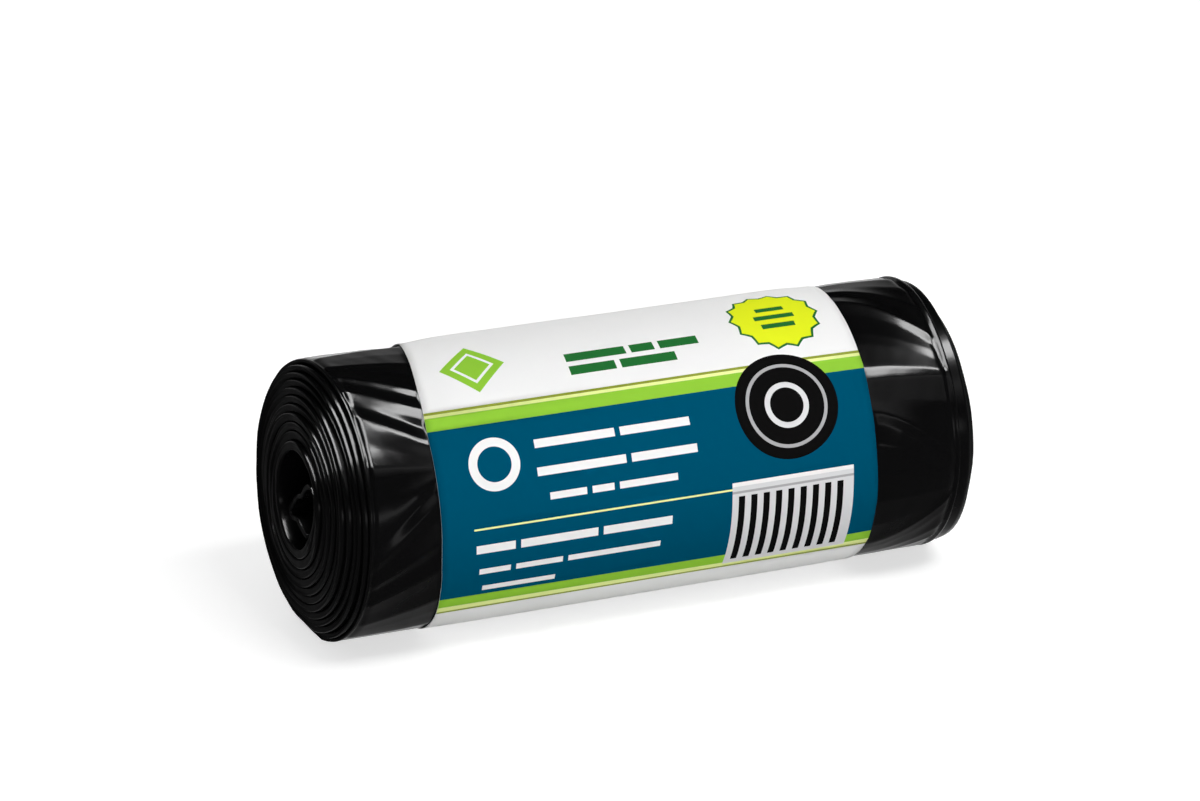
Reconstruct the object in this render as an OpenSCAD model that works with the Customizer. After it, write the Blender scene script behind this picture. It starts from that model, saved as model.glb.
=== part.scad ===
// A roll of plastic sacks without a core, held shut by a printed paper band.
// The folded sacks are one long strip wound on itself. Its axis is X, the rest plane is z = 0.
// Angles round the axis start at the top and turn towards the front, which is the -Y side.

/* [Roll] */
// Diameter of the wound roll under the band
roll_d = 80; // [66:1:100]
// Width of the folded sacks, along the axis
strip_w = 189; // [165:1:230]
// Width of the open hollow in the middle
hollow_d = 25; // [22:1:30]
// Distance between turns beside the hollow
inner_pitch = 3; // [2.6:0.1:3.6]
// Distance between turns under the skin
outer_pitch = 1.8; // [1.7:0.1:2.4]
// Air between two turns
turn_gap = 0.3; // [0.25:0.05:0.4]
// Width of the flat that the roll rests on
flat_w = 18; // [12:1:24]

/* [Ends] */
// How far the innermost turn stands out beyond the middle ones
core_proud = 1.9; // [0:0.1:4]
// How far the outermost turn sits back at the left end
left_shoulder = 4.7; // [1:0.1:8]
// How far the outermost turn sits back at the right end
right_shoulder = 10.5; // [4:0.1:14]
// Slant of the left end towards the front, in mm for each mm
slant_front = 0.1; // [0:0.01:0.12]
// Slant of the left end towards the top, in mm for each mm
slant_top = 0.07; // [0:0.01:0.12]
// Largest difference in height between neighbouring folded edges
edge_scatter = 0.5; // [0:0.1:1]

/* [Skin] */
// Thickness of the last sack's slack outer end
tail_t = 0.6; // [0.4:0.1:1]
// Angle at which the outer end stops
tail_angle = 205; // [150:5:240]
// Height of the creases, where 1 is a roll wound by a machine
crease_scale = 1; // [0:0.1:1.2]
// Creases on the stretch of the skin that faces away from the printed side
back_creases = 22; // [12:1:26]
// How far the skin swells between the band and the rim
swell = 0.15; // [0:0.05:0.3]
// How far the skin rolls over at the rim
rim_drop = 1.1; // [0:0.1:1.5]

/* [First sack] */
// Thickness of the loose inner end
curl_t = 1.2; // [0.8:0.1:1.4]
// How far the loose inner end sits back from the ends of the roll
curl_recess = 1.5; // [1:0.5:8]

/* [Band] */
// Width of the paper band, along the axis
band_w = 130; // [100:1:140]
// How far the middle of the band lies off the middle of the roll
band_shift = -2; // [-6:0.5:6]
// Thickness of the paper
paper_t = 0.2; // [0.15:0.05:0.4]
// Air between the skin and the band
band_clear = 0.15; // [0.1:0.05:0.3]
// Length of the glued overlap at the back
overlap = 14; // [8:1:18]
// Angle at which the overlap's outer edge lies
seam = 245; // [235:1:250]
// Length of the teal field, measured round the band
field_len = 52; // [40:1:60]
// Angle of the field's upper edge from the top
field_start = 45.5; // [35:0.5:55]
// Width of a lime stripe
lime_w = 4; // [2:0.1:5]
// Width of a pale yellow line
pale_w = 1; // [0.6:0.1:2]
// Width of an olive line
olive_w = 0.8; // [0.4:0.1:1]

/* [Hidden] */

roll_r = roll_d / 2;
hollow_r = hollow_d / 2;
// The flat lies this far above the lowest point of the full circle
flat_sag = roll_r - sqrt(roll_r * roll_r - flat_w * flat_w / 4);
axis_z = roll_r - flat_sag + band_clear + paper_t;

// Turns of the strip, counted from the inner end of the wound part
turns = (roll_r - tail_t - hollow_r) / ((inner_pitch + outer_pitch) / 2);
start_angle = tail_angle - 360 * turns;
main_steps = 30;
skin_steps = 128;
curl_steps = 26;
main_count = round((turns - 1) * main_steps);

// Radii of the inner and outer faces after a number of turns: the outer turns lie closer together
function face_in(u) = hollow_r + inner_pitch * u - (inner_pitch - outer_pitch) * u * u / (2 * turns);
skin_start = face_in(turns) - turn_gap;
function face_out(u) = u <= turns - 1
    ? face_in(u + 1) - turn_gap
    : skin_start + (roll_r - skin_start) * (u - turns + 1);

// Share of the way from the hollow to the skin
function depth_share(r) = max(0, min(1, (r - hollow_r) / (roll_r - hollow_r)));

// The hollow is an upright oval, and the turns outside it become round
oval = 0.07;
oval_tilt = 8;
function oval_factor(r, a) = 1 + oval * cos(2 * (a - oval_tilt)) * pow(1 - depth_share(r), 2);

// The flat reaches a few turns into the roll
flat_power = 3;
function flat_factor(r, a) =
    let(limit = (1 - flat_sag / roll_r) / max(0.5, -cos(a)))
    1 - (1 - min(1, limit)) * pow(depth_share(r), flat_power);

function place(x, r, a) =
    let(s = r * oval_factor(r, a) * flat_factor(r, a))
    [x, -s * sin(a), axis_z + s * cos(a)];
// The same for a point given by its distances to the front and up
function place_at(x, p) = place(x, norm(p), atan2(p.x, p.y));
function front_up(r, a) = r * [sin(a), cos(a)];

// Ends of the strip along the axis, after u turns
slow_wave = 0.37;
fast_wave = 1.13;
function scatter(u) = edge_scatter * (0.6 * sin(360 * u * slow_wave) + 0.4 * sin(360 * u * fast_wave + 50));
left_power = 4;
right_power = 14;
right_slant = 0.02;
function left_end(r, u, a) =
    let(t = depth_share(r))
    -strip_w / 2 - core_proud * (1 - t) + left_shoulder * pow(t, left_power) + scatter(u)
    + r * (slant_front * sin(a) + slant_top * cos(a));
function right_end(r, u, a) =
    let(t = depth_share(r))
    strip_w / 2 + core_proud * (1 - t) - right_shoulder * pow(t, right_power) + scatter(u + 0.4)
    - right_slant * r * cos(a);

// Station across the strip between a point of its inner face and one of its outer face,
// with a rounded fold at each end
crown = 0.6;
function fold(t) = min(crown, 0.45 * t);
function station(xl, xr, inner, outer) =
    let(m = (inner + outer) / 2, c = fold(norm(outer - inner)))
    [place_at(xl + c, inner), place_at(xl, m), place_at(xl + c, outer),
     place_at(xr - c, outer), place_at(xr, m), place_at(xr - c, inner)];

function main_station(i) =
    let(u = (turns - 1) * i / main_count, a = start_angle + 360 * u, ri = face_in(u))
    station(left_end(ri, u, a), right_end(ri, u, a), front_up(ri, a), front_up(face_out(u), a));

// The loose inner end follows the wall, then runs crumpled across the hollow and back.
// Each row: share of its length, share of the hollow's radius, turn away from its start
curl_path = [
    [0, (1 + face_out(0) / hollow_r) / 2, 0], [0.1, 1.065, 26], [0.2, 1.035, 51], [0.3, 0.975, 75],
    [0.35, 0.88, 86], [0.42, 0.52, 96], [0.5, 0.13, 90], [0.57, 0.23, 228], [0.65, 0.5, 253],
    [0.71, 0.76, 255], [0.77, 0.64, 275], [0.84, 0.37, 297], [0.92, 0.61, 332], [1, 0.83, 348]
];
curl_radius = [for (row = curl_path) [row[0], row[1]]];
curl_turn = [for (row = curl_path) [row[0], row[2]]];
curl_reach = 0.015;
function curl_line(v) = front_up(hollow_r * lookup(v, curl_radius), start_angle - lookup(v, curl_turn));
function curl_middle(v) = (curl_line(v - curl_reach) + 2 * curl_line(v) + curl_line(v + curl_reach)) / 4;
function curl_station(v) =
    let(p = curl_middle(v), way = curl_middle(v + curl_reach) - curl_middle(v - curl_reach),
        t = curl_t + (face_out(0) - hollow_r - curl_t) * pow(1 - v, 6),
        side = [way.y, -way.x] * t / 2 / norm(way),
        a = start_angle - lookup(v, curl_turn),
        set_back = curl_recess * (1 - pow(1 - v, 3)) * (1 + 0.3 * sin(700 * v)))
    station(left_end(norm(p), 0, a) + set_back, right_end(norm(p), 0, a) - set_back, p - side, p + side);

// Creases of the skin between the band and the rim. The film is taut between neighbouring lines.
// Each row: angle at the band, angle at the rim, height at the band, height at the rim
left_lines = [
    [-14, -12, 0.2, 0.1], [-4, -6, -0.3, -0.1], [8, 1, 0.3, 0.15], [14, 4, -0.35, -0.15],
    [21.5, 8, 0.8, 0.25], [27, 11.5, -0.7, -0.2], [36, 21.5, 0.35, 0.2], [42, 25, -0.15, -0.1],
    [45, 27.5, -0.5, -0.25], [51.5, 35, 0.75, 0.45], [57.2, 36.6, 0.25, 0.42], [60, 50, 0.75, 0.35],
    [62, 63, 0.45, 0], [63.5, 75, 0.45, -0.05], [65, 86, 0.45, 0.2], [68.5, 91, -0.4, -0.3],
    [73.5, 98, 0.5, 0.35], [80.5, 101, -0.4, -0.2], [90, 106.5, 0.5, 0.35], [95, 110, -0.4, -0.25],
    [102, 117, 0.45, 0.35], [110, 124, -0.3, -0.2], [119, 131, 0.4, 0.2], [128, 138, -0.3, -0.1]
];
right_lines = [
    [-16, -8, 0.1, 0.1], [-9, 6, -0.25, 0], [-3, 22, 0.35, 0.2], [1, 28, -0.3, -0.15],
    [8, 38, 0.7, 0.35], [15, 42.5, -0.7, -0.3], [27, 45, 0.45, 0.3], [33, 47, -0.45, -0.2],
    [43, 48.5, 0.3, 0.15], [52, 53, 0.1, 0], [60, 66, -0.1, -0.1], [64, 90, 0.4, 0.25],
    [69, 95, -0.3, -0.2], [78, 99, 0.15, 0.1], [90, 100, 0.1, 0.05], [104, 101.5, 0, 0],
    [118, 102.5, -0.3, -0.1], [131, 104, 0.5, 0.3], [138, 110, -0.3, -0.2], [146, 122, 0.2, 0.1]
];

// Round the back the creases lean to and fro in fans
function back_lines(lines, phase) =
    let(first = lines[0], last = lines[len(lines) - 1],
        band_step = (first[0] + 360 - last[0]) / (back_creases + 1),
        rim_step = (first[1] + 360 - last[1]) / (back_creases + 1))
    [for (k = [1 : back_creases])
        let(lean = 0.32 * sin(67 * k + phase),
            height = (0.45 + 0.2 * sin(141 * k + phase)) * (k % 2 == 1 ? 1 : -1))
        [last[0] + band_step * (k + lean), last[1] + rim_step * (k - lean), height, 0.6 * height]];
left_skin = concat(left_lines, back_lines(left_lines, 0));
right_skin = concat(right_lines, back_lines(right_lines, 90));

function line_angle(l, e) = l[0] + (l[1] - l[0]) * pow(e, 1.1);
// The band holds the creases down beside it
function line_height(l, e) = crease_scale * (l[2] + (l[3] - l[2]) * e) * min(1, 0.5 + 4 * e);

// Radius at an angle on the straight line between two points in polar form
function taut(a, a0, r0, a1, r1) = r0 * r1 * sin(a1 - a0) / (r0 * sin(a - a0) + r1 * sin(a1 - a));

function crease_rise(e, a, lines) =
    let(angles = concat([for (l = lines) line_angle(l, e)], [line_angle(lines[0], e) + 360]),
        round_off = floor((a - angles[0]) / 360), turned = a - 360 * round_off,
        n = len(lines),
        k = [for (i = [0 : n - 1]) if (turned < angles[i + 1]) i][0],
        r0 = roll_r + line_height(lines[k], e),
        r1 = roll_r + line_height(lines[(k + 1) % n], e))
    taut(turned, angles[k], r0, angles[k + 1], r1) - roll_r;

band_left = band_shift - band_w / 2;
band_right = band_shift + band_w / 2;
rim_share = 0.12;
skin_least = 0.45;
function flat_fade(a) = min(1, max(0, 1 + cos(a) - 0.06) * 4);
// Radius of the skin at a share e of the way from the band to the rim
function skin_r(e, ro, ri, a, lines) =
    let(rise = crease_rise(e, a, lines) + swell * sin(180 * e)
            - rim_drop * pow(max(0, e - 1 + rim_share) / rim_share, 2))
    ro + max(rise * flat_fade(a) * min(1, 10 * e), -max(0, ro - ri - skin_least));

// Places across the skin: close together outside the band, none beneath it
skin_side = 9;
skin_n = 2 * (skin_side + 1) + 4;
function skin_station(i) =
    let(u = turns - 1 + i / skin_steps, a = start_angle + 360 * u,
        ri = face_in(u), ro = face_out(u), m = (ri + ro) / 2, c = fold(ro - ri),
        xl = left_end(ri, u, a), xr = right_end(ri, u, a))
    concat(
        [place(xl + c, ri, a), place(xl, m, a)],
        [for (k = [0 : skin_side]) let(e = 1 - k / skin_side)
            place(band_left + (xl + c - band_left) * e, skin_r(e, ro, ri, a, left_skin), a)],
        [for (k = [0 : skin_side]) let(e = k / skin_side)
            place(band_right + (xr - c - band_right) * e, skin_r(e, ro, ri, a, right_skin), a)],
        [place(xr, m, a), place(xr - c, ri, a)]);

plain_n = 6;
plain_stations = curl_steps + main_count + 1;
skin_first = plain_stations * plain_n;
function plain_point(i, k) = i * plain_n + k % plain_n;
function skin_point(i, k) = skin_first + (i - 1) * skin_n + k % skin_n;

function quad(a, b, c, d) = [[a, c, b], [b, c, d]];
// Faces between two loops of points, given by their point functions' values
function plain_quad(i, k) =
    quad(plain_point(i, k), plain_point(i, k + 1), plain_point(i + 1, k), plain_point(i + 1, k + 1));
function skin_quad(i, k) =
    quad(skin_point(i, k), skin_point(i, k + 1), skin_point(i + 1, k), skin_point(i + 1, k + 1));

// The last plain station meets the first finer one: quads inside, and two fans outside
last_plain = plain_stations - 1;
half = skin_side + 1;
more = skin_n - plain_n;
function meet(k, shift) =
    quad(plain_point(last_plain, k), plain_point(last_plain, k + 1),
        skin_point(1, k + shift), skin_point(1, k + 1 + shift));
function fan(hub, from, to) = [
    for (k = [from : to]) [plain_point(last_plain, hub), skin_point(1, k), skin_point(1, k + 1)]
];
function join_faces() = concat(
    meet(0, 0), meet(1, 0),
    fan(2, 2, half),
    [[plain_point(last_plain, 2), skin_point(1, half + 1), plain_point(last_plain, 3)]],
    fan(3, half + 1, 2 * skin_side + 2),
    meet(3, more), meet(4, more), meet(5, more));

function roll_points() = concat(
    [for (i = [0 : curl_steps - 1]) each curl_station(1 - i / curl_steps)],
    [for (i = [0 : main_count]) each main_station(i)],
    [for (i = [1 : skin_steps]) each skin_station(i)]);

function roll_faces() = concat(
    [for (k = [1 : plain_n - 2]) [0, k, k + 1]],
    [for (i = [0 : plain_stations - 2], k = [0 : plain_n - 1]) each plain_quad(i, k)],
    join_faces(),
    [for (i = [1 : skin_steps - 1], k = [0 : skin_n - 1]) each skin_quad(i, k)],
    [for (k = [1 : skin_n - 2])
        [skin_point(skin_steps, 0), skin_point(skin_steps, k + 1), skin_point(skin_steps, k)]]);

// The middle of the roll's overall length lies at x = 0
along = [for (p = roll_points()) p.x];
middle = (min(along) + max(along)) / 2;

module bag_roll() {
    color("#141414") translate([-middle, 0, 0])
        polyhedron(points = roll_points(), faces = roll_faces(), convexity = 20);
}

// Outline of a sleeve round the roll: a circle with a flat below
module sleeve_outline(clear) {
    intersection() {
        circle(r = roll_r + clear, $fn = 96);
        translate([-2 * roll_r, flat_sag - roll_r - clear]) square(4 * roll_r);
    }
}

// Wedge from one angle to another, wider than the sleeve
module wedge(from, to) {
    count = ceil((to - from) / 30);
    reach = 1.3 * roll_r;
    polygon([[0, 0], for (i = [0 : count])
        let(a = from + (to - from) * i / count) [-reach * sin(a), reach * cos(a)]]);
}

// One field of the band between two angles, on paper that starts this far above the skin
module field(from, to, clear, tint) {
    color(tint) translate([band_left - middle, 0, axis_z]) rotate([90, 0, 90]) linear_extrude(height = band_w)
        intersection() {
            difference() {
                sleeve_outline(clear + paper_t);
                sleeve_outline(clear);
            }
            wedge(from, to);
        }
}

function arc_angle(len) = len / (roll_r + band_clear + paper_t) * 180 / PI;

// The stripes run from the field's edges outwards: lime, pale yellow, olive
stripe_w = [lime_w, pale_w, olive_w];
stripe_tint = ["#92cc3e", "#f0fca0", "#92a236"];
function stripe_edge(k) = k == 0 ? 0 : stripe_edge(k - 1) + arc_angle(stripe_w[k - 1]);

module label_band() {
    field_end = field_start + arc_angle(field_len);
    frame = stripe_edge(len(stripe_w));
    field(field_start, field_end, band_clear, "#00537a");
    for (k = [0 : len(stripe_w) - 1]) {
        field(field_start - stripe_edge(k + 1), field_start - stripe_edge(k), band_clear, stripe_tint[k]);
        field(field_end + stripe_edge(k), field_end + stripe_edge(k + 1), band_clear, stripe_tint[k]);
    }
    field(field_end + frame, 360 + field_start - frame, band_clear, "white");
    // The glued end of the paper lies on the band itself
    field(seam - arc_angle(overlap), seam, band_clear + paper_t, "white");
}

bag_roll();
label_band();
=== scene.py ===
"""Looks of a roll of black plastic sacks with a paper band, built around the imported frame.

Lengths are in millimetres in the part's own frame until a mesh is made.
Angles round the roll start at the top and turn towards the front, which is the -Y side.
"""

import math

import bpy
import numpy as np
from mathutils import Matrix, Vector
from mathutils.geometry import delaunay_2d_cdt


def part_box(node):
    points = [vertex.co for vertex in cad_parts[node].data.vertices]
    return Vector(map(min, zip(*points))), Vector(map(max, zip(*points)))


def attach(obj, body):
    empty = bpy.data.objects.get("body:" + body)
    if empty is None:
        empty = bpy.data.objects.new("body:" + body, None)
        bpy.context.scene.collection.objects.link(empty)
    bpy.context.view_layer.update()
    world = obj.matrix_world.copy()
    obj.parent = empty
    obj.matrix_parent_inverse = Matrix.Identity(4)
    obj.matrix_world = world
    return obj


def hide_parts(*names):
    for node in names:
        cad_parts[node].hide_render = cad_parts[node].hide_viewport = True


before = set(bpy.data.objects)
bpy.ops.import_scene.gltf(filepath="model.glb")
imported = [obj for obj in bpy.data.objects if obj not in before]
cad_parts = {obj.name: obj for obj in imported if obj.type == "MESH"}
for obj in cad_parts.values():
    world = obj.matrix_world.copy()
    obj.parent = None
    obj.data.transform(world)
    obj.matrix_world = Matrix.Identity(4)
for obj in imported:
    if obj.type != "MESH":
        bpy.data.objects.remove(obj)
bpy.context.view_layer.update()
MM = 0.001

# Sizes of the roll
ROLL_R = 40.0
HOLLOW_R = 12.5
STRIP_W = 189.0
STRIP_SHIFT = 2.0
INNER_PITCH = 3.0
OUTER_PITCH = 1.8
TURN_GAP = 0.3
FLAT_W = 18.0
CORE_PROUD = 1.9
LEFT_SHOULDER = 4.7
RIGHT_SHOULDER = 10.5
LEFT_BEND = 4
RIGHT_BEND = 14
SLANT_FRONT = 0.1
SLANT_TOP = 0.07
RIGHT_SLANT = 0.02
SCATTER = 0.45
FINE_SCATTER = 0.22
TAIL_T = 0.6
TAIL_ANGLE = 205.0
CURL_T = 1.2
CURL_RECESS = 1.5
CURL_RIPPLE = 0.1
OVAL = 0.07
OVAL_TILT = 8.0
FLAT_REACH = 0.5

# Sizes of a folded edge: its rounded height, the fine layers on it, and two proud lips.
# The lips' places and widths are shares of a turn's thickness.
FOLD_H = 0.6
FOLD_T = 1.5
FOLD_OVERHANG = 0.2
FOLD_SQUARENESS = 9
LAYER_H = 0.06
LAYER_COUNT = 3.2
LIP_AT = 0.88
LIP_W = 0.055
LIP_H = 0.35
SECOND_AT = 0.45
SECOND_W = 0.07
SECOND_H = 0.5
EDGE_SWAY = 0.15

# Sizes of the outer skin beside the band. Its shares run from 0 at the band to 1 at the rim.
SKIN_SINK = 1.2
SINK_TURNS = 2.4
CREASES_FROM = -0.03
CREASES_FULL = 0.02
LEAN_ENDS = 0.1
SWELL = 0.15
SOFT_WAVE = 0.05
RIM_DROP = 1.1
RIM_FROM = 0.88
HELD_DEPTH = 0.3
HELD_TO = 0.3
SKIN_T = 0.45
DEEPEST = 1.6
HIGHEST_AT_BAND = 0.2
HIGHEST_BESIDE = 1.1
CREASE_SOFT = 0.7

# Sizes of the paper band
BAND_W = 130.0
PAPER_T = 0.2
BAND_CLEAR = 0.15
OVERLAP = 14.0
SEAM = 245.0
FIELD_LEN = 52.0
FIELD_START = 45.5
LIME_W = 4.0
PALE_W = 1.0
LOW_PALE_W = 2.4
OLIVE_W = 0.8
LEFT_SKEW = 6.5
RIGHT_SKEW = 2.2
SKEW_ANGLE = 66.0
SKEW_BACK = -90.0
SKEW_FRONT = 60.0
SKEW_FADE = 60.0
SLACK = 0.10
EDGE_SLACK = 0.12
EDGE_WAVE = 0.25
WAVY_W = 7.0
HUG_W = 12.0
LAP_BLEND = 4.0
TAIL_BLEND = 20.0

# Places that follow from the sizes and from the frame
band_lo, band_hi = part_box("label_band")
BAND_LEFT = band_lo[0] / MM
BAND_RIGHT = band_hi[0] / MM
BAND_MIDDLE = (BAND_LEFT + BAND_RIGHT) / 2
STRIP_MIDDLE = BAND_MIDDLE + STRIP_SHIFT
FLAT_SAG = ROLL_R - math.sqrt(ROLL_R ** 2 - FLAT_W ** 2 / 4)
AXIS_Z = ROLL_R - FLAT_SAG + BAND_CLEAR + PAPER_T
TURNS = (ROLL_R - TAIL_T - HOLLOW_R) / ((INNER_PITCH + OUTER_PITCH) / 2)
START_ANGLE = TAIL_ANGLE - 360 * TURNS

# Fineness of the meshes
MAIN_STEPS = 72
SKIN_STEPS = 360
CURL_STEPS = 100
EDGE_POINTS = 13
OUTER_AT = np.array([0.03, 0.12, 0.5, 0.88, 0.97])
INNER_AT = np.array([0.02, 0.04, 0.06, 0.09, 0.15, 0.85, 0.91, 0.94, 0.96, 0.98])
SKIN_INNER_AT = np.array([0.85, 0.65, 0.45, 0.25, 0.05])
ACROSS = len(OUTER_AT)
SIDE_POINTS = 40
SIDE_REACH = 1.05
MARK_CLEAR = 0.3
LEAST_STEP = 0.05
DULL_FROM = 1
DULL_TO = 9
SHEET_COLUMNS = 53
SHEET_ROWS = 135


def sin(degrees):
    return np.sin(np.radians(degrees))


def cos(degrees):
    return np.cos(np.radians(degrees))


def smooth(t):
    """A soft step from 0 to 1."""
    t = np.clip(t, 0, 1)
    return t * t * (3 - 2 * t)


# Form of the roll

def depth_share(r):
    return np.clip((r - HOLLOW_R) / (ROLL_R - HOLLOW_R), 0, 1)


def place(x, r, a):
    """Point at a distance x along the axis, a radius and an angle, on the oval and flattened form."""
    oval = 1 + OVAL * cos(2 * (a - OVAL_TILT)) * (1 - depth_share(r)) ** 2
    limit = (1 - FLAT_SAG / ROLL_R) / np.maximum(FLAT_REACH, -cos(a))
    flat = 1 - (1 - np.minimum(1, limit)) * depth_share(r) ** 3
    x, s, a = np.broadcast_arrays(x, r * oval * flat, a)
    return np.stack([x, -s * sin(a), AXIS_Z + s * cos(a)], -1)


def front_up(r, a):
    """Point by its distances to the front and up, without the oval and the flat."""
    return np.stack([r * sin(a), r * cos(a)], -1)


def place_at(x, p):
    """Puts points given by their distances to the front and up on the roll's form."""
    return place(x, np.hypot(p[..., 0], p[..., 1]), np.degrees(np.arctan2(p[..., 0], p[..., 1])))


def waves(t, seed, octaves=4, base=1.0):
    """Smooth noise of about unit size along t, the same for the same seed."""
    rng = np.random.default_rng(seed)
    out = np.zeros_like(np.asarray(t, float))
    size = 0.0
    for k in range(octaves):
        freq = base * 1.9 ** k * rng.uniform(0.85, 1.15)
        amp = 0.62 ** k
        out = out + amp * np.sin(2 * np.pi * freq * t + rng.uniform(0, 2 * np.pi))
        size += amp
    return out / size


def left_end(r, u, a):
    """Where the strip's left edge lies along the axis."""
    t = depth_share(r)
    rim = LEFT_SHOULDER * t ** LEFT_BEND - CORE_PROUD * (1 - t)
    slant = r * (SLANT_FRONT * sin(a) + SLANT_TOP * cos(a))
    return STRIP_MIDDLE - STRIP_W / 2 + rim + slant + end_scatter(u, 11)


def right_end(r, u, a):
    """Where the strip's right edge lies along the axis."""
    t = depth_share(r)
    rim = CORE_PROUD * (1 - t) - RIGHT_SHOULDER * t ** RIGHT_BEND
    return STRIP_MIDDLE + STRIP_W / 2 + rim - RIGHT_SLANT * r * cos(a) - end_scatter(u, 12)


def end_scatter(u, seed):
    """Folded edges of neighbouring turns stand out by different amounts."""
    return SCATTER * waves(u, seed, 3, 0.41) + FINE_SCATTER * waves(u, seed + 50, 4, 2.3)


def edge_rise(w, u, seed):
    """How far the folded edge stands out at a share w of a turn's thickness:
    a flat top, fine layers and two proud lips."""
    outer = np.clip(u / TURNS, 0, 1)
    top = FOLD_H * (1 - np.abs(2 * w - 1) ** FOLD_SQUARENESS)
    layers = LAYER_H * np.sin(2 * np.pi * (LAYER_COUNT * w + 0.4 * waves(u, seed, 3, 0.7)))
    lip_at = LIP_AT + 0.04 * waves(u, seed + 1, 3, 0.9)
    lip = LIP_H + LIP_H * outer + 0.4 * waves(u, seed + 2, 4, 1.7)
    lip = lip * np.exp(-((w - lip_at) / LIP_W) ** 2)
    second_at = SECOND_AT + 0.12 * waves(u, seed + 3, 3, 0.8)
    second = SECOND_H * outer ** 2 + 0.2 * waves(u, seed + 4, 4, 1.3)
    second = second * np.exp(-((w - second_at) / SECOND_W) ** 2)
    sway = EDGE_SWAY * (w - 0.5) * waves(u, seed + 5, 3, 0.6)
    fine = layers + np.maximum(lip, 0) + np.maximum(second, 0) + sway
    return top + fine * np.minimum(1, 9 * w * (1 - w))


def face_in(u):
    """Radius of the inner face after u turns: the outer turns lie closer together."""
    return HOLLOW_R + INNER_PITCH * u - (INNER_PITCH - OUTER_PITCH) * u * u / (2 * TURNS)


def face_out(u):
    """Radius of the outer face. The last turn is the skin, which widens to the roll's full radius."""
    share = np.clip(u - (TURNS - 1), 0, 1)
    start = face_in(TURNS) - TURN_GAP
    return np.where(u <= TURNS - 1, face_in(u + 1) - TURN_GAP, start + (ROLL_R - start) * share)


def edge(u, inner, outer, end, side):
    """One folded edge of every loop, from its inner to its outer face. The side is -1 at the left end."""
    w = (1 - np.cos(np.pi * np.arange(EDGE_POINTS) / (EDGE_POINTS - 1))) / 2
    thick = np.linalg.norm(outer - inner, axis=-1)[:, None]
    t = np.minimum(1, thick / FOLD_T)
    share = (w + FOLD_OVERHANG * (w - 0.5) * t / thick)[..., None]
    p = inner[:, None] + (outer - inner)[:, None] * share
    back = t * (FOLD_H - edge_rise(w, u[:, None], 26 + 5 * side))
    return place_at(end[:, None] - side * back, p)


def plain_loops(u, inner, outer, xl, xr):
    """Closed loops across the strip: left edge, outer face, right edge, inner face.
    Between the ends the faces sink where the skin may crease into them."""
    out = (outer - inner) / np.linalg.norm(outer - inner, axis=-1)[:, None]
    low = (inner - out * hidden_sink(u)[:, None])[:, None]
    high = (outer - out * hidden_sink(u + 0.5)[:, None])[:, None]
    wide = (xr - xl)[:, None]
    return np.concatenate([
        edge(u, inner, outer, xl, -1), place_at(xl[:, None] + wide * OUTER_AT, high),
        edge(u, inner, outer, xr, 1)[:, ::-1], place_at(xr[:, None] - wide * INNER_AT, low)], 1)


def hidden_sink(u):
    """How far the faces under the skin sink, well inside the ends."""
    return SKIN_SINK * np.clip(u - (TURNS - SINK_TURNS), 0, 1)


# Creases of the outer skin
# Each line runs from the band to the rim: its angle at either end, and its height at either end.
# The film is taut between neighbouring lines.

LEFT_LINES = [
    (-14, -12, 0.2, 0.1), (-4, -6, -0.3, -0.1), (8, 1, 0.3, 0.15), (14, 4, -0.35, -0.15),
    (25.3, 9.5, 0.45, 0.15), (28.8, 12.5, -0.4, -0.1), (34.5, 19.5, 0.3, 0.3), (39.7, 23.5, -0.15, -0.25),
    (43, 26.5, -0.7, -0.35), (48.7, 33, 0.45, 0.45), (51, 35, 0.7, 0.35), (53, 40, 0.5, 0.15),
    (55, 45, 0.35, -0.1), (57.2, 50, 0.35, 0.25), (60, 57, 0.4, 0.9), (62, 66, 0.35, -0.1),
    (63.5, 75, 0.45, -0.05), (65, 86, 0.45, 0.2), (68.5, 91, -0.4, -0.3),
    (73.5, 98, 0.5, 0.35), (80.5, 101, -0.4, -0.2), (90, 106.5, 0.5, 0.35), (95, 110, -0.4, -0.25),
    (102, 117, 0.45, 0.35), (110, 124, -0.2, -0.1), (119, 131, 0.3, 0.15), (128, 138, -0.1, 0),
]
RIGHT_LINES = [
    (-16, -8, 0.1, 0.1), (-9, 6, -0.25, 0), (-3, 22, 0.35, 0.2), (1, 28, -0.3, -0.15),
    (8, 38, 0.7, -0.25), (15, 42.5, -0.75, -0.7), (27, 44.8, -1.0, -0.5), (33, 48.6, -0.8, -0.35),
    (45.5, 52, 0.5, 0.35), (50.5, 54, 0.8, 0.35), (60, 66, 0.15, -0.1), (64, 90, 0.4, 0.25),
    (69, 95, -0.3, -0.2), (78, 99, 0.15, 0.1), (90, 100, 0.1, 0.05), (104, 101.5, 0, 0),
    (118, 102.5, -0.15, -0.1), (131, 104, 0.4, 0.25), (138, 110, 0.1, 0), (146, 122, 0.2, 0.1),
]
LEFT_LEAN_POWER = 1.1
RIGHT_LEAN_POWER = 1.5

# Creases of the stretch that the front doesn't show: how many, how far they stray, and their heights
UNSEEN_COUNT = 22
UNSEEN_LEAN = 0.32
UNSEEN_RISE = 0.45
UNSEEN_SPREAD = 0.2
UNSEEN_AT_RIM = 0.6


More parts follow.
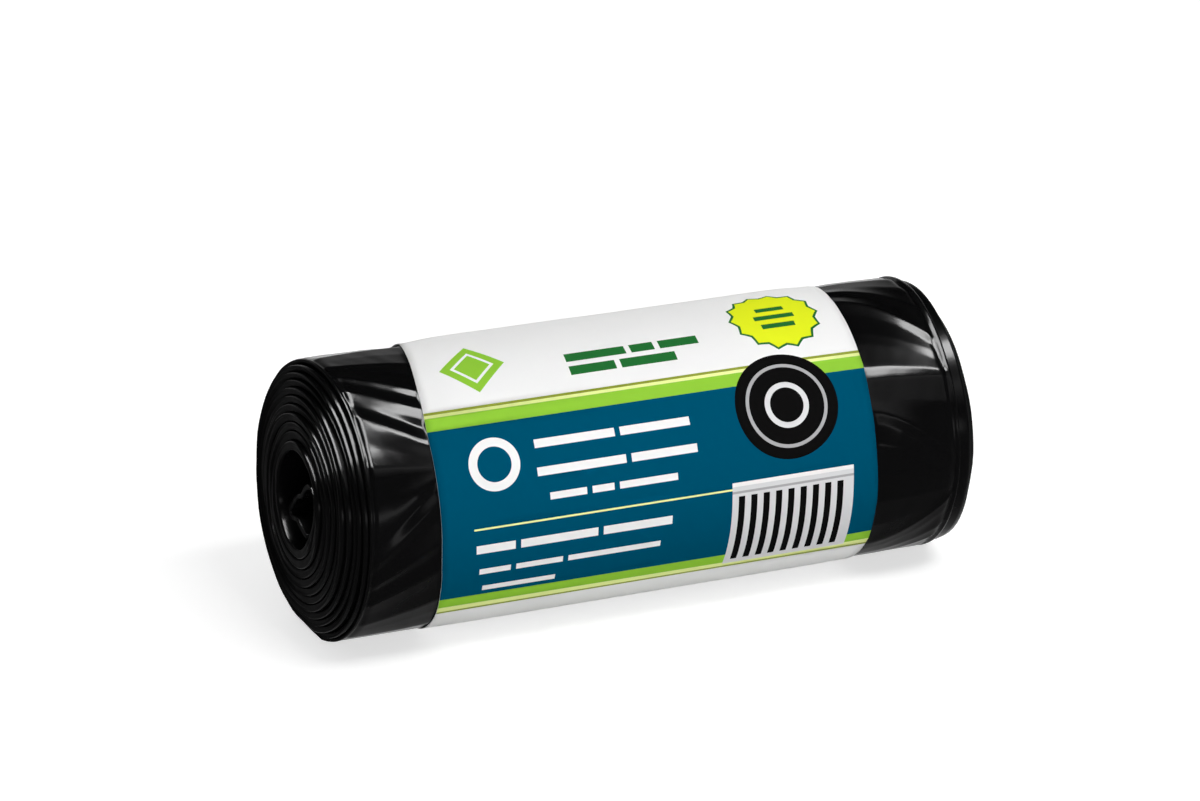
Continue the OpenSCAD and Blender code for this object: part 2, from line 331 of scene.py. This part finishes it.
def with_unseen(lines, phase):
    """Adds the creases of the stretch round the back, leaning to and fro in fans."""
    start_band, start_rim = lines[-1][:2]
    band_step = (lines[0][0] + 360 - start_band) / (UNSEEN_COUNT + 1)
    rim_step = (lines[0][1] + 360 - start_rim) / (UNSEEN_COUNT + 1)
    more = []
    for k in range(1, UNSEEN_COUNT + 1):
        stray = UNSEEN_LEAN * sin(67 * k + phase)
        height = (UNSEEN_RISE + UNSEEN_SPREAD * sin(141 * k + phase)) * (1 if k % 2 else -1)
        at_band, at_rim = start_band + band_step * (k + stray), start_rim + rim_step * (k - stray)
        more.append((at_band, at_rim, height, height * UNSEEN_AT_RIM))
    return lines + more


def taut(a, a0, r0, a1, r1):
    """Radius at an angle on the straight line between two points in polar form."""
    gap = np.maximum(sin(a1 - a0), 1e-6)
    return r0 * r1 * gap / (r0 * sin(a - a0) + r1 * sin(a1 - a) + 1e-9)


def lean(a, lines):
    """How far the creases turn between the band and the rim, for each angle at the band."""
    at_band = np.array([line[0] for line in lines] + [lines[0][0] + 360])
    at_rim = np.array([line[1] for line in lines] + [lines[0][1] + 360])
    turned = at_band[0] + (a - at_band[0]) % 360
    return np.interp(turned, at_band, at_rim) - turned


def crease_rise(e, a, lines, power):
    """Height of the skin over its round form, with its creases a little rounded."""
    before, after = (sharp_rise(e, a + turn, lines, power) for turn in (-CREASE_SOFT, CREASE_SOFT))
    return (before + 2 * sharp_rise(e, a, lines, power) + after) / 4


def sharp_rise(e, a, lines, power):
    """The same with sharp creases, at a share e of the way from the band to the rim."""
    across = np.clip(e, 0, 1)
    angle = [band + (rim - band) * across ** power for band, rim, _, _ in lines]
    low = np.clip(0.8 + 2 * across, 0, 1)
    height = [(hb + (hr - hb) * across) * low for _, _, hb, hr in lines]
    angle.append(angle[0] + 360)
    height.append(height[0])
    turned = angle[0] + (a - angle[0]) % 360
    rise = np.zeros_like(turned)
    for k in range(len(lines)):
        here = (turned >= angle[k]) & (turned <= angle[k + 1])
        r = taut(turned, angle[k], ROLL_R + height[k], angle[k + 1], ROLL_R + height[k + 1])
        rise = np.where(here, r - ROLL_R, rise)
    return rise


def skin_radius(e, a, u, lines, power, seed):
    """Radius of the outer skin: smooth beneath the band, creased beside it, rolled over at the rim."""
    beside = np.clip((e - CREASES_FROM) / (CREASES_FULL - CREASES_FROM), 0, 1)
    swollen = SWELL * sin(np.clip(e, 0, 1) * 180)
    soft = SOFT_WAVE * waves(a / 360 * 7 + 1.3 * e, seed, 3)
    over_rim = RIM_DROP * np.clip((e - RIM_FROM) / (1 - RIM_FROM), 0, 1) ** 2
    held = HELD_DEPTH * np.clip(1 - e / HELD_TO, 0, 1)
    rise = beside * (crease_rise(e, a, lines, power) + swollen + soft - over_rim - held)
    off_flat = np.clip((1 + cos(a) - 0.06) * 4, 0, 1)
    free = np.clip(face_out(u) - face_in(u) - SKIN_T + np.clip((1 - e) * 5, 0, 1), 0, DEEPEST)
    ceiling = HIGHEST_AT_BAND + (HIGHEST_BESIDE - HIGHEST_AT_BAND) * np.clip(8 * e, 0, 1)
    ceiling = np.where(e < 0, 0.0, ceiling)
    return face_out(u) + np.minimum(np.maximum(rise * off_flat, -free), ceiling)


def band_skew(side, a):
    """How far an edge of the band lies off a plain circle. It bulges towards the camera's side."""
    turned = (a - SKEW_ANGLE + 180) % 360 - 180
    most = np.where((side < 0) & (turned < 0), LEFT_SKEW, RIGHT_SKEW)
    fade = np.clip((180 - np.abs(turned)) / SKEW_FADE, 0, 1)
    return most * (1 - cos(np.clip(turned, SKEW_BACK, SKEW_FRONT))) * fade


def main_rings():
    """Loops of all turns but the skin."""
    count = int(round((TURNS - 1) * MAIN_STEPS))
    u = (TURNS - 1) * np.arange(count + 1) / count
    a = START_ANGLE + 360 * u
    ri, ro = face_in(u), face_out(u)
    return plain_loops(u, front_up(ri, a), front_up(ro, a), left_end(ri, u, a), right_end(ri, u, a))


# The loose inner end follows the wall, then runs across the hollow and back.
# Each row: share of its length, share of the hollow's radius, turn away from its start.
# Its corners are rounded by an average over steps of CURL_REACH.
CURL_PATH = np.array([
    (0, (1 + face_out(0) / HOLLOW_R) / 2, 0), (0.1, 1.065, 26), (0.2, 1.035, 51), (0.3, 0.975, 75),
    (0.35, 0.88, 86), (0.42, 0.52, 96), (0.5, 0.13, 90), (0.57, 0.23, 228), (0.65, 0.5, 253),
    (0.71, 0.76, 255), (0.77, 0.64, 275), (0.84, 0.37, 297), (0.92, 0.61, 332), (1, 0.83, 348),
])
CURL_REACH = 0.024
CURL_SHARES = [(-2, 1 / 9), (-1, 2 / 9), (0, 3 / 9), (1, 2 / 9), (2, 1 / 9)]


def curl_turn(v):
    """Angle of the loose end at a share v of its length, counted inwards."""
    return START_ANGLE - np.interp(v, CURL_PATH[:, 0], CURL_PATH[:, 2])


def curl_line(v):
    r = HOLLOW_R * np.interp(v, CURL_PATH[:, 0], CURL_PATH[:, 1])
    return front_up(r, curl_turn(v))


def curl_middle(v):
    """The line with its corners rounded, as an average over a short stretch of it."""
    return sum(share * curl_line(v + CURL_REACH * k) for k, share in CURL_SHARES)


def curl_rings():
    """Loops of the loose inner end, which leaves the wall of the hollow and thins out."""
    v = 1 - np.arange(CURL_STEPS) / CURL_STEPS
    p = curl_middle(v)
    way = curl_middle(v + CURL_REACH) - curl_middle(v - CURL_REACH)
    t = CURL_T + (face_out(0) - HOLLOW_R - CURL_T) * (1 - v) ** 6
    side = np.stack([way[:, 1], -way[:, 0]], -1) * (t / 2 / np.linalg.norm(way, axis=-1))[:, None]
    set_back = CURL_RECESS * (1 - (1 - v) ** 3) * (1 + CURL_RIPPLE * sin(700 * v))
    r, a = np.linalg.norm(p, axis=-1), curl_turn(v)
    xl, xr = left_end(r, 0 * v, a) + set_back, right_end(r, 0 * v, a) - set_back
    return plain_loops(-v, p - side, p + side, xl, xr)


def skin_angles(marks):
    """Angles of the skin's loops, one on each crease and the rest evenly spread."""
    marks = TAIL_ANGLE - (TAIL_ANGLE - np.array(marks)) % 360
    even = TAIL_ANGLE - 360 + 360 / SKIN_STEPS * np.arange(1, SKIN_STEPS + 1)
    clear = np.abs(even[:, None] - marks).min(1) > MARK_CLEAR
    clear[-1] = True
    a = np.sort(np.concatenate([even[clear], marks]))
    return a[np.concatenate([a[1:] - a[:-1] > LEAST_STEP, [True]])]


def skin_side(a, u, side, lines, power, seed):
    """Edge, outer face and inner face of the skin on one side of the band, along the creases."""
    turned = lean(a, lines) * np.clip(np.minimum(u - TURNS + 1, TURNS - u) / LEAN_ENDS, 0, 1)
    rim_u, rim_a = u + turned / 360, a + turned
    ri, ro = face_in(rim_u), face_out(rim_u)
    end = (left_end if side < 0 else right_end)(ri, rim_u, rim_a)
    start = (BAND_LEFT if side < 0 else BAND_RIGHT) + band_skew(side, a)
    fold = FOLD_H * np.minimum(1, (ro - ri) / FOLD_T)

    def along(e, inset):
        """Places along the axis, angles and turns at the shares e of the way from the band to the rim."""
        turn = turned[:, None] * np.clip(e, 0, 1) ** power
        x = start[:, None] + (end - side * inset - start)[:, None] * e
        return x, a[:, None] + turn, u[:, None] + turn / 360

    e = 1 - SIDE_REACH * np.arange(1, SIDE_POINTS + 1) / (SIDE_POINTS + 1)
    x, angle, turns = along(e, fold)
    outer = place(x, skin_radius(e + 0 * angle, angle, turns, lines, power, seed), angle)
    x, angle, turns = along(SKIN_INNER_AT, 0)
    inner = place(x, face_in(turns) - hidden_sink(turns), angle)
    return edge(rim_u, front_up(ri, rim_a), front_up(ro, rim_a), end, side), outer, inner


def skin_rings():
    """Loops of the skin: smooth beneath the band, with fine steps on both sides of it."""
    left, right = with_unseen(LEFT_LINES, 0), with_unseen(RIGHT_LINES, 90)
    a = skin_angles([line[0] for line in left + right])
    u = TURNS + (a - TAIL_ANGLE) / 360
    left_edge, left_outer, left_inner = skin_side(a, u, -1, left, LEFT_LEAN_POWER, 61)
    right_edge, right_outer, right_inner = skin_side(a, u, 1, right, RIGHT_LEAN_POWER, 151)
    return np.concatenate([
        left_edge, left_outer, right_outer[:, ::-1], right_edge[:, ::-1],
        right_inner, left_inner[:, ::-1]], 1)


def strip_faces(count, points, first):
    """Quads between neighbouring loops of one grid."""
    i = np.arange(count - 1)[:, None] * points + first
    k = np.arange(points)[None, :]
    n = (k + 1) % points
    return np.stack([i + k, i + n, i + points + n, i + points + k], -1).reshape(-1, 4)


def make_mesh(name, points, faces, materials):
    mesh = bpy.data.meshes.new(name)
    mesh.from_pydata((np.asarray(points) * MM).tolist(), [], [list(map(int, f)) for f in faces])
    if mesh.validate(verbose=True):
        print("mesh", name, "had bad faces")
    mesh.shade_smooth()
    obj = bpy.data.objects.new(name, mesh)
    bpy.context.scene.collection.objects.link(obj)
    for material in materials:
        mesh.materials.append(material)
    return obj


def dull_edges(count, points):
    """1 for the faces on the inner part of each folded edge, 0 elsewhere."""
    left = np.arange(points)
    right = points - len(INNER_AT) - 2 - left
    dull = [(k >= DULL_FROM) & (k < DULL_TO) for k in (left, right)]
    return np.tile((dull[0] | dull[1]).astype(np.int32), count - 1)


def film_roll(materials):
    """The whole strip as one closed mesh: inner curl, turns and the creased outer skin."""
    plain = np.concatenate([curl_rings(), main_rings()])
    skin = skin_rings()
    n, p = plain.shape[:2]
    m, q = skin.shape[:2]
    last, first, end = (n - 1) * p, n * p, n * p + (m - 1) * q
    faces = [*strip_faces(n, p, 0).tolist(), *strip_faces(m, q, first).tolist()]
    # The last plain loop meets the first fine one: alike at the edges and inside, in a fan outside
    more = q - p
    for k in [*range(EDGE_POINTS - 1), *range(EDGE_POINTS + ACROSS, p)]:
        shift = 0 if k < EDGE_POINTS else more
        faces.append((last + k, last + (k + 1) % p, first + (k + 1 + shift) % q, first + k + shift))
    near = last + EDGE_POINTS - 1
    far = first + EDGE_POINTS - 1
    steps = 2 * SIDE_POINTS
    reached = 0
    for k in range(steps + 1):
        wanted = int(k * (ACROSS + 1) / steps + 0.5)
        while reached < wanted:
            faces.append((near + reached, near + reached + 1, far + k))
            reached += 1
        faces.append((near + reached, far + k + 1, far + k))
    faces.append(tuple(reversed(range(p))))
    faces.append(tuple(end + k for k in range(q)))
    points = np.concatenate([plain.reshape(-1, 3), skin.reshape(-1, 3)])
    obj = make_mesh("film_roll", points, faces, materials)
    index = np.zeros(len(faces), np.int32)
    dull = np.concatenate([dull_edges(n, p), dull_edges(m, q)])
    index[:len(dull)] = dull
    obj.data.polygons.foreach_set("material_index", index)
    return obj


# The paper band, laid out flat as (x from the band's middle, arc length from the top towards the front)

PAPER_R = ROLL_R + BAND_CLEAR + PAPER_T
ARC = math.pi / 180 * PAPER_R
LAP_START = SEAM - OVERLAP / ARC
SHEET_START = (LAP_START - 360) * ARC
SHEET_END = SEAM * ARC
TEAL_TOP = FIELD_START * ARC
TEAL_BOTTOM = TEAL_TOP + FIELD_LEN
BAR_GAP = 1.6
DIAMOND_X, DIAMOND_ANGLE = -47.7, 17.7
SEAL_X, SEAL_ANGLE = 45.0, 13.1
SEAL_DEPTH = 1.5
SEAL_TEETH = 14
RING_X, RING_ANGLE = -48.0, 62.0
ROUNDEL_X, ROUNDEL_ANGLE = 39.6, 56.0
BLOCK_LEFT, BLOCK_RIGHT = 20.5, 57.5
BLOCK_TOP, BLOCK_BOTTOM = 84.0, 126.0
BLOCK_BARS = 9
BLOCK_BAR_W = 1.9
BLOCK_BAR_STEP = 3.75

INKS = {
    "paper": (0.90, 0.90, 0.895),
    "teal": (0.0, 0.078, 0.150),
    "lime": (0.29, 0.60, 0.048),
    "pale": (0.87, 0.95, 0.38),
    "olive": (0.29, 0.36, 0.037),
    "yellow": (0.80, 0.90, 0.02),
    "dark_green": (0.02, 0.16, 0.035),
    "grey": (0.42, 0.42, 0.43),
    "silver": (0.72, 0.72, 0.73),
    "black": (0.005, 0.005, 0.005),
}


def rect(x0, x1, s0, s1):
    return [(x0, s0), (x1, s0), (x1, s1), (x0, s1)]


def disc(x, s, r, n=40):
    turns = [2 * math.pi * k / n for k in range(n)]
    return [(x + r * math.cos(t), s + r * math.sin(t)) for t in turns]


def seal(x, s, r, depth, teeth):
    """A disc with pointed teeth of that depth."""
    out = []
    for k in range(4 * teeth):
        t = math.pi * k / (2 * teeth)
        tip = r - depth * (0, 0.62, 1, 0.62)[k % 4]
        out.append((x + tip * math.cos(t), s + tip * math.sin(t)))
    return out


def at(degrees):
    """Place along the sheet at an angle round the roll."""
    return degrees * ARC


def bars(ink, x0, x1, degrees, height, shares):
    """A line of bars where a line of words would be."""
    s = at(degrees)
    room = (x1 - x0) - BAR_GAP * (len(shares) - 1)
    out, x = [], x0
    for share in shares:
        w = room * share / sum(shares)
        out.append((ink, rect(x, x + w, s - height / 2, s + height / 2)))
        x += w + BAR_GAP
    return out


def print_shapes():
    """Every coloured shape of the print, in the order in which it is laid down."""
    half = BAND_W / 2
    shapes = [("teal", rect(-half, half, TEAL_TOP, TEAL_BOTTOM))]
    for side, line in ((-1, TEAL_TOP), (1, TEAL_BOTTOM)):
        pale_w = PALE_W if side < 0 else LOW_PALE_W
        for ink, width in (("lime", LIME_W), ("pale", pale_w), ("olive", OLIVE_W)):
            shapes.append((ink, rect(-half, half, *sorted((line, line + side * width)))))
            line += side * width
    return shapes + label_ornaments() + seal_ornament() + field_ornaments() + bin_ornaments()


def label_ornaments():
    """A lime diamond with a white line inside it, and dark bars beside it."""
    x, s = DIAMOND_X, at(DIAMOND_ANGLE)
    return [
        ("lime", disc(x, s, 9.8, 4)), ("paper", disc(x, s, 6.6, 4)), ("lime", disc(x, s, 5.4, 4)),
        *bars("dark_green", -20.0, 20.0, 20.5, 3.2, (8, 3, 5)),
        *bars("dark_green", -20.0, 12.0, 27.5, 3.2, (5, 6)),
    ]


def seal_ornament():
    """A yellow seal with a dark outline and three dark bars."""
    x, s = SEAL_X, at(SEAL_ANGLE)
    out = [
        ("dark_green", seal(x, s, 13.6, SEAL_DEPTH, SEAL_TEETH)),
        ("yellow", seal(x, s, 12.8, SEAL_DEPTH, SEAL_TEETH)),
    ]
    for k, w in enumerate((4.2, 6.0, 5.0)):
        out.append(("dark_green", rect(x - w, x + w, s - 4.6 + 3.9 * k, s - 2.7 + 3.9 * k)))
    return out


def field_ornaments():
    """A white ring, bars beside and below it, and a thin rule between them."""
    return [
        ("paper", disc(RING_X, at(RING_ANGLE), 7.4, 56)), ("teal", disc(RING_X, at(RING_ANGLE), 4.9, 48)),
        *bars("paper", -35.8, 10.1, 56.5, 2.4, (8, 7)),
        *bars("paper", -36.1, 11.1, 67.5, 2.4, (8, 6)),
        *bars("paper", -33.2, 4.5, 77.6, 2.0, (5, 3, 8)),
        ("pale", rect(-55.7, 21.3, at(86.4), at(87.2))),
        *bars("paper", -55.2, 2.6, 95.5, 2.6, (5, 10, 9)),
        *bars("paper", -54.2, -0.4, 106.0, 1.9, (4, 6, 12)),
        *bars("paper", -52.9, -31.3, 115.2, 1.9, (1,)),
    ]


def bin_ornaments():
    """A dark roundel above a silver block with dark bars."""
    x, s = ROUNDEL_X, at(ROUNDEL_ANGLE)
    out = [
        ("black", disc(x, s, 15.4, 64)), ("grey", disc(x, s, 12.2, 56)), ("black", disc(x, s, 11.2, 56)),
        ("silver", disc(x, s, 6.6, 44)), ("black", disc(x, s, 5.0, 40)),
    ]
    left, right = BLOCK_LEFT, BLOCK_RIGHT
    top, bottom = at(BLOCK_TOP), at(BLOCK_BOTTOM)
    out.append(("silver", rect(left, right, top, bottom)))
    for k in range(BLOCK_BARS):
        bar = left + BLOCK_BAR_W + BLOCK_BAR_STEP * k
        out.append(("black", rect(bar, bar + BLOCK_BAR_W, top + 4.2, bottom - 2.0)))
    out.append(("paper", rect(left, right, top, top + 1.2)))
    out.append(("grey", rect(left, right, top + 2.6, top + 3.3)))
    return out


def inside(points, shape):
    """Which of the points lie in a closed outline."""
    x, s = points[:, 0], points[:, 1]
    result = np.zeros(len(points), bool)
    for (x0, s0), (x1, s1) in zip(shape, shape[1:] + shape[:1]):
        crosses = (s0 > s) != (s1 > s)
        result ^= crosses & (x < x0 + (x1 - x0) * (s - s0) / (s1 - s0 if s1 != s0 else 1))
    return result


def flat_layout(shapes):
    """Triangles of the flat sheet, each within one coloured shape, on a grid fine enough to bend."""
    half = BAND_W / 2
    verts, edges = [], []

    def add_line(points, closed):
        first = len(verts)
        verts.extend(Vector(p) for p in points)
        n = len(points)
        edges.extend((first + k, first + (k + 1) % n) for k in range(n if closed else n - 1))

    columns = np.linspace(-half, half, SHEET_COLUMNS)
    rows = np.linspace(SHEET_START, SHEET_END, SHEET_ROWS)
    for s in rows:
        add_line([(x, s) for x in columns], False)
    add_line([(-half, s) for s in rows], False)
    add_line([(half, s) for s in rows], False)
    for _, shape in shapes:
        add_line(shape, True)
    points, _, faces, *_ = delaunay_2d_cdt(verts, edges, [], 0, 1e-4)
    points = np.array([(p.x, p.y) for p in points])
    faces = np.array([list(f) for f in faces])
    centres = points[faces].mean(1)
    ink = np.zeros(len(faces), int)
    names = list(INKS)
    for name, shape in shapes:
        ink[inside(centres, shape)] = names.index(name)
    return points, faces, ink


def band_place(points, depth):
    """Bends flat points round the roll, a depth below the sheet's outer face."""
    x, a = points[:, 0], points[:, 1] / ARC
    from_edge = BAND_W / 2 - np.abs(x)
    near_edge = np.clip(1 - from_edge / WAVY_W, 0, 1) ** 2
    hug = smooth(1 - from_edge / HUG_W)
    lap = PAPER_T * smooth((a - (LAP_START - LAP_BLEND)) / LAP_BLEND)
    slack = SLACK * waves(a / 360 * 5 + x / 130, 91, 3)
    slack = slack + EDGE_SLACK * near_edge * waves(a / 360 * 17 + np.sign(x), 93, 3)
    slack = np.maximum(slack * np.clip(1 + cos(a), 0, 1), -0.1)
    behind_tail = (a - TAIL_ANGLE) % 360
    drop = (TAIL_T + TURN_GAP) * (1 - behind_tail / 360) * np.clip(behind_tail / TAIL_BLEND, 0, 1)
    r = PAPER_R - depth + lap + slack - drop * hug
    lowest = (PAPER_R - FLAT_SAG - depth + lap) / np.maximum(FLAT_REACH, -cos(a))
    r = np.where(cos(a) < -FLAT_REACH, np.minimum(r, lowest), r)
    wavy = EDGE_WAVE * np.sign(x) * near_edge * waves(a / 360 * 4, 95, 3)
    skew = band_skew(x, a) * np.abs(x) / (BAND_W / 2)
    return np.stack([x + BAND_MIDDLE + wavy + skew, -r * sin(a), AXIS_Z + r * cos(a)], -1)


def paper_band(inks):
    """The printed sheet as one closed mesh: outer face, inner face and a thin rim."""
    points, faces, ink = flat_layout(print_shapes())
    n = len(points)
    outer, inner = band_place(points, 0.0), band_place(points, PAPER_T)
    count = {}
    for f in faces:
        for k in range(3):
            i, j = int(f[k]), int(f[(k + 1) % 3])
            count[(i, j)] = count.get((i, j), 0) + 1
    rim = [(i, j) for i, j in count if (j, i) not in count]
    sides = [(j, i, n + i, n + j) for i, j in rim]
    all_faces = [*faces.tolist(), *(faces[:, ::-1] + n).tolist(), *sides]
    obj = make_mesh("paper_band", np.concatenate([outer, inner]), all_faces, inks)
    index = np.zeros(len(obj.data.polygons), np.int32)
    index[:len(ink)] = ink
    obj.data.polygons.foreach_set("material_index", index)
    return obj


# Materials

FILM = (0.002, 0.002, 0.0022)
FOLD = (0.003, 0.003, 0.0032)
NOISE_LO = 0.25
NOISE_HI = 0.75


def principled(name, colour, roughness, **sockets):
    material = bpy.data.materials.new(name)
    material.use_nodes = True
    shader = material.node_tree.nodes["Principled BSDF"]
    shader.inputs["Base Color"].default_value = (*colour, 1)
    shader.inputs["Roughness"].default_value = roughness
    for socket, value in sockets.items():
        shader.inputs[socket.replace("_", " ")].default_value = value
    return material, material.node_tree, shader


def noise(tree, scale, detail=3.0, stretch=(1, 1, 1)):
    """A noise texture in the object's own space."""
    coords = tree.nodes.new("ShaderNodeTexCoord")
    mapping = tree.nodes.new("ShaderNodeMapping")
    mapping.inputs["Scale"].default_value = stretch
    texture = tree.nodes.new("ShaderNodeTexNoise")
    texture.inputs["Scale"].default_value = scale
    texture.inputs["Detail"].default_value = detail
    tree.links.new(coords.outputs["Object"], mapping.inputs["Vector"])
    tree.links.new(mapping.outputs["Vector"], texture.inputs["Vector"])
    return texture


def spread(tree, source, lo, hi):
    """Maps a texture's value onto a range."""
    node = tree.nodes.new("ShaderNodeMapRange")
    node.inputs["From Min"].default_value = NOISE_LO
    node.inputs["From Max"].default_value = NOISE_HI
    node.inputs["To Min"].default_value = lo
    node.inputs["To Max"].default_value = hi
    tree.links.new(source.outputs["Fac"], node.inputs["Value"])
    return node.outputs["Result"]


def bump(tree, shader, source, strength, distance):
    node = tree.nodes.new("ShaderNodeBump")
    node.inputs["Strength"].default_value = strength
    node.inputs["Distance"].default_value = distance
    tree.links.new(source.outputs["Fac"], node.inputs["Height"])
    tree.links.new(node.outputs["Normal"], shader.inputs["Normal"])


def film_material():
    """Glossy black film."""
    material, tree, shader = principled("sack_film", FILM, 0.2, Specular_IOR_Level=0.02)
    tree.links.new(spread(tree, noise(tree, 60), 0.15, 0.19), shader.inputs["Roughness"])
    bump(tree, shader, noise(tree, 420, 4, (0.5, 1, 1)), 0.03, 0.0004)
    return material


def fold_material():
    """The duller inner part of a folded edge, where many layers end."""
    material, tree, shader = principled("sack_fold", FOLD, 0.4, Specular_IOR_Level=0.004)
    bump(tree, shader, noise(tree, 900, 3, (0.5, 1, 1)), 0.1, 0.0003)
    return material


def ink_material(name, colour):
    rough = 0.55 if name == "paper" else 0.45
    material, tree, shader = principled("ink_" + name, colour, rough, Specular_IOR_Level=0.0)
    bump(tree, shader, noise(tree, 900, 3, (0.4, 1, 1)), 0.08, 0.0002)
    return material


# Lights, floor and camera

AIM_Z = 0.04
LIGHTS_PAPER = (True, False)
LIGHTS_GLOSS = (False, True)
WORLD_LIGHT = 0.32
HORIZON_END = 0.10
CEILING_START = 0.45
CEILING = 0.05
FLOOR_HALF = 4.0
FLOOR_ALBEDO = 0.6
FLOOR_LIFT = 0.64
SENSOR_W = 36
FOCAL_PER_WIDTH = 4008 / 1200
CAMERA_TURN = 21.04
CAMERA_RISE = 22.66
CAMERA_DISTANCE = 1.137
TARGET = (-4.5, 0, AXIS_Z + 17.2)


def softbox(name, azimuth, elevation, distance, width, height, share, seen):
    """A lamp on a sphere round the roll, long side along the roll, which gives that share of full white
    on paper that faces it. Azimuth 0 is straight in front, and rises towards +X.
    It lights either dull surfaces or reflections, as the last argument says."""
    light = bpy.data.lights.new(name, "AREA")
    light.shape = "RECTANGLE"
    light.size, light.size_y = width, height
    light.energy = share * math.pi ** 2 * distance ** 2
    obj = bpy.data.objects.new(name, light)
    bpy.context.scene.collection.objects.link(obj)
    a, e = math.radians(azimuth), math.radians(elevation)
    back = Vector((math.sin(a) * math.cos(e), -math.cos(a) * math.cos(e), math.sin(e)))
    across = (Vector((1, 0, 0)) - back * back.x).normalized()
    turn = Matrix((across, back.cross(across), back)).transposed().to_4x4()
    obj.matrix_world = Matrix.Translation(back * distance + Vector((0, 0, AIM_Z))) @ turn
    obj.visible_diffuse, obj.visible_glossy = seen


def white_world():
    """White for the eye and for reflections that leave the set, softer grey as light."""
    world = bpy.data.worlds.new("studio")
    bpy.context.scene.world = world
    world.use_nodes = True
    tree = world.node_tree
    tree.nodes.clear()
    dim = tree.nodes.new("ShaderNodeBackground")
    bright = tree.nodes.new("ShaderNodeBackground")
    dim.inputs["Strength"].default_value = WORLD_LIGHT
    bright.inputs["Strength"].default_value = 1.0
    dim.inputs["Color"].default_value = (1, 1, 1, 1)
    tree.links.new(horizon_ramp(tree), bright.inputs["Color"])
    mix = tree.nodes.new("ShaderNodeMixShader")
    out = tree.nodes.new("ShaderNodeOutputWorld")
    tree.links.new(seen_directly(tree), mix.inputs["Fac"])
    tree.links.new(dim.outputs["Background"], mix.inputs[1])
    tree.links.new(bright.outputs["Background"], mix.inputs[2])
    tree.links.new(mix.outputs["Shader"], out.inputs["Surface"])


def horizon_ramp(tree):
    """White up to a little above the horizon, and a dark ceiling over it."""
    coords = tree.nodes.new("ShaderNodeTexCoord")
    split = tree.nodes.new("ShaderNodeSeparateXYZ")
    ramp = tree.nodes.new("ShaderNodeMapRange")
    ramp.interpolation_type = "SMOOTHSTEP"
    ramp.inputs["From Min"].default_value = HORIZON_END
    ramp.inputs["From Max"].default_value = CEILING_START
    ramp.inputs["To Min"].default_value = 1.0
    ramp.inputs["To Max"].default_value = CEILING
    tree.links.new(coords.outputs["Generated"], split.inputs["Vector"])
    tree.links.new(split.outputs["Z"], ramp.inputs["Value"])
    return ramp.outputs["Result"]


def seen_directly(tree):
    """1 for rays from the camera, reflections and glass, and 0 for the rays that light the set."""
    path = tree.nodes.new("ShaderNodeLightPath")
    total = path.outputs["Is Camera Ray"]
    for kind in ("Is Glossy Ray", "Is Transmission Ray"):
        add = tree.nodes.new("ShaderNodeMath")
        add.operation = "MAXIMUM"
        tree.links.new(total, add.inputs[0])
        tree.links.new(path.outputs[kind], add.inputs[1])
        total = add.outputs["Value"]
    return total


def floor():
    """A large white floor that only shows the roll's shadow."""
    mesh = bpy.data.meshes.new("floor")
    corners = [(x * FLOOR_HALF, y * FLOOR_HALF, 0) for x, y in ((-1, -1), (1, -1), (1, 1), (-1, 1))]
    mesh.from_pydata(corners, [], [(0, 1, 2, 3)])
    obj = bpy.data.objects.new("floor", mesh)
    bpy.context.scene.collection.objects.link(obj)
    material, tree, shader = principled("floor", (FLOOR_ALBEDO,) * 3, 0.9, Specular_IOR_Level=0.0)
    shader.inputs["Emission Color"].default_value = (1, 1, 1, 1)
    lift = tree.nodes.new("ShaderNodeMath")
    lift.operation = "MULTIPLY"
    lift.inputs[1].default_value = FLOOR_LIFT
    tree.links.new(seen_directly(tree), lift.inputs[0])
    tree.links.new(lift.outputs["Value"], shader.inputs["Emission Strength"])
    mesh.materials.append(material)
    return obj


def camera():
    data = bpy.data.cameras.new("camera")
    data.sensor_width = SENSOR_W
    data.lens = SENSOR_W * FOCAL_PER_WIDTH
    obj = bpy.data.objects.new("camera", data)
    bpy.context.scene.collection.objects.link(obj)
    a, e = math.radians(CAMERA_TURN), math.radians(CAMERA_RISE)
    target = Vector(TARGET) * MM
    back = Vector((-math.sin(a) * math.cos(e), -math.cos(a) * math.cos(e), math.sin(e)))
    obj.location = target + back * CAMERA_DISTANCE
    obj.rotation_mode = "QUATERNION"
    obj.rotation_quaternion = (-back).to_track_quat("-Z", "Y")
    data.clip_start, data.clip_end = 0.05, 20
    bpy.context.scene.camera = obj


roll = film_roll([film_material(), fold_material()])
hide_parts("bag_roll")
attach(roll, "root")

band = paper_band([ink_material(name, colour) for name, colour in INKS.items()])
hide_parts("label_band")
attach(band, "root")

bpy.context.scene.view_settings.view_transform = "Standard"
white_world()
floor()
camera()
# Lamps: azimuth, elevation, distance, width and height in metres, share of full white
softbox("key", 30, 59, 1.1, 0.5, 0.3, 0.525, LIGHTS_PAPER)
softbox("fill", -10, 3, 1.4, 1.2, 0.4, 0.445, LIGHTS_PAPER)
softbox("back", 180, 20, 1.4, 1.2, 0.5, 0.25, LIGHTS_PAPER)
softbox("streak", 48, 64, 1.1, 0.7, 0.28, 15.0, LIGHTS_GLOSS)
softbox("side", -50, 72, 1.1, 0.4, 1.1, 28.0, LIGHTS_GLOSS)
for elevation, share in ((44, 0.12), (38, 0.35), (32, 0.2), (26, 0.08)):
    softbox("glow", 23, elevation, 1.2, 1.3, 0.13, share, LIGHTS_GLOSS)
softbox("low", 3, 5, 1.2, 0.75, 0.15, 0.34, LIGHTS_GLOSS)
